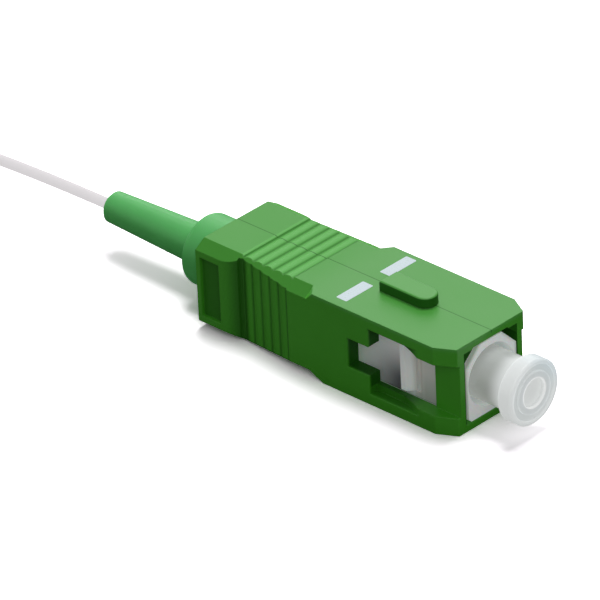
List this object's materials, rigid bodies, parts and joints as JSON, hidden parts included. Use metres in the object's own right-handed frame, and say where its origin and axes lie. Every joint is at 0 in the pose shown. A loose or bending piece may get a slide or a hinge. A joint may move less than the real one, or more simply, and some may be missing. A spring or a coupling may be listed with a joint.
{
  "type": "sc fibre connector",
  "caption": "Push-pull square fibre-optic plug with a sliding green housing, sprung ceramic ferrule, soft boot, dust cap and a buffered fibre pigtail put away in a hank.",
  "frame": {"origin": "on the ferrule axis in the plane of the outer housing's front face", "axes": "+X out of the mating end along the ferrule, +Z to the side with the key, Y across the plug"},
  "size_m": [0.1019, 0.0108, 0.0083],
  "materials": {
    "green_housing": "fine satin",
    "white_frame": "satin",
    "green_boot": "soft satin",
    "milky_cap": "translucent satin",
    "ceramic": "polished",
    "nickel": "turned",
    "spring_steel": "drawn wire",
    "liner": "smooth",
    "glass": "polished",
    "buffer": "smooth",
    "band": "smooth"
  },
  "bodies": {
    "core": {"plug_frame": "white_frame", "stop_ring": "nickel", "spring": "spring_steel", "boot": "green_boot", "fibre_cord": "buffer", "cord_hank": "buffer", "hank_tie": "band"},
    "grip": {"outer_housing": "green_housing"},
    "ferrule_group": {"ferrule": "ceramic", "ferrule_flange": "nickel", "guide_tube": "liner", "glass_fibre": "glass", "inner_fibre": "buffer"},
    "cap": {"dust_cap": "milky_cap"}
  },
  "joints": [
    {"name": "grip_slide", "type": "slide", "parent": "core", "child": "grip", "axis": [1, 0, 0], "range_m": [-0.0016, 0]},
    {"name": "ferrule_float", "type": "slide", "parent": "core", "child": "ferrule_group", "axis": [1, 0, 0], "range_m": [-0.0016, 0], "stiffness_N_per_m": 1740, "deforming": ["spring", "inner_fibre"]},
    {"name": "cap_pull", "type": "slide", "parent": "ferrule_group", "child": "cap", "axis": [1, 0, 0], "range_m": [0, 0.012]}
  ]
}
